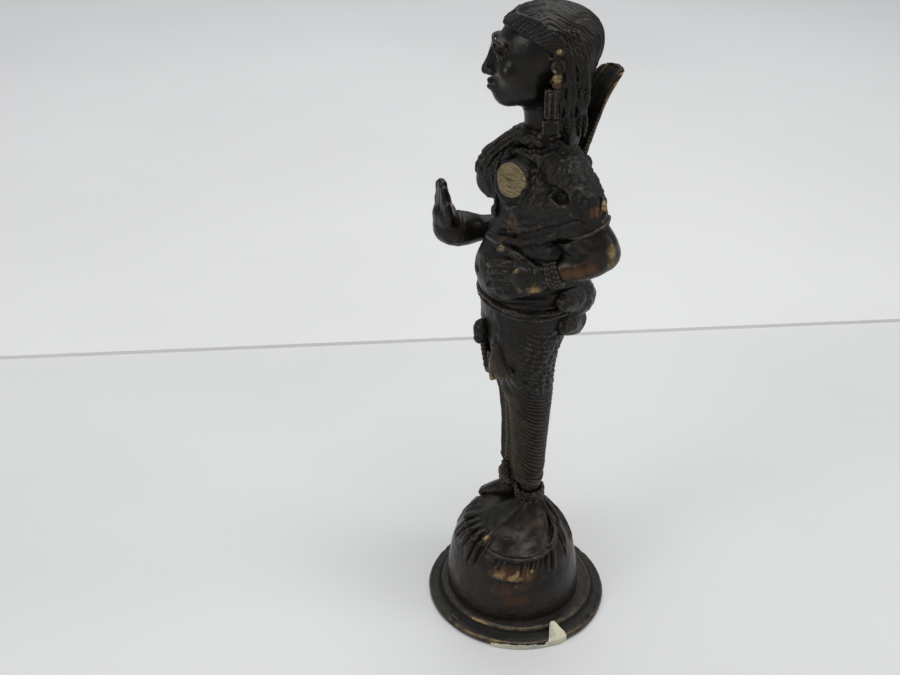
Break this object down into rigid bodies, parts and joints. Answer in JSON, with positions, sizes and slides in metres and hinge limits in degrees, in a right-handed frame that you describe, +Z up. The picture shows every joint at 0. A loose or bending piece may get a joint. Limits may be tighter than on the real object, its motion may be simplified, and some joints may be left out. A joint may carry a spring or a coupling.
{
  "type": "small cast brass statue",
  "caption": "Dark patinated brass figure of a standing woman, one hand raised and one on the hip, on a hollow domed lotus pedestal with a stepped round rim.",
  "frame": {"origin": "centre of the pedestal's underside, on the surface that the statue stands on", "axes": "+Z up the statue; the figure's body faces -Y; the figure's own left side, with the hand on the hip, is +X"},
  "size_m": [0.046, 0.0454, 0.1512],
  "materials": {
    "dark_patina": "dark brown to black patina over cast brass, softly glossy from handling, brass showing on high edges",
    "brown_patina": "rubbed red-brown patina over cast brass, satin",
    "worn_ornament": "dark patina worn through to copper brown and brass on the raised work",
    "filed_brass": "bare brass with fine parallel file marks",
    "raw_brass": "plain dull brass",
    "old_paper": "matte torn paper, cream and grey-green"
  },
  "bodies": {
    "root": {"foot_ring": "dark_patina", "pedestal_dome": "brown_patina", "ledge_plate": "dark_patina", "fixing_pins": "raw_brass", "pin_washers": "raw_brass", "left_foot": "dark_patina", "right_foot": "dark_patina", "left_anklet": "worn_ornament", "right_anklet": "worn_ornament", "trailing_hem": "brown_patina", "draped_skirt": "dark_patina", "waist_belt": "worn_ornament", "hip_drape": "dark_patina", "sash_knot": "worn_ornament", "sash_tassel": "worn_ornament", "sash_loop": "worn_ornament", "torso": "dark_patina", "breast_disc": "filed_brass", "necklace": "worn_ornament", "garland": "worn_ornament", "left_upper_arm": "dark_patina", "left_forearm": "dark_patina", "left_hand": "dark_patina", "right_upper_arm": "dark_patina", "right_forearm": "dark_patina", "right_hand": "dark_patina", "side_drape": "dark_patina", "left_armlet": "worn_ornament", "right_armlet": "worn_ornament", "left_bangle": "worn_ornament", "head": "dark_patina", "hair": "dark_patina", "left_earring": "worn_ornament", "right_earring": "worn_ornament", "left_tress": "worn_ornament", "right_tress": "worn_ornament", "nape_leaf": "worn_ornament", "nape_knob": "worn_ornament", "paper_label": "old_paper"}
  },
  "joints": []
}
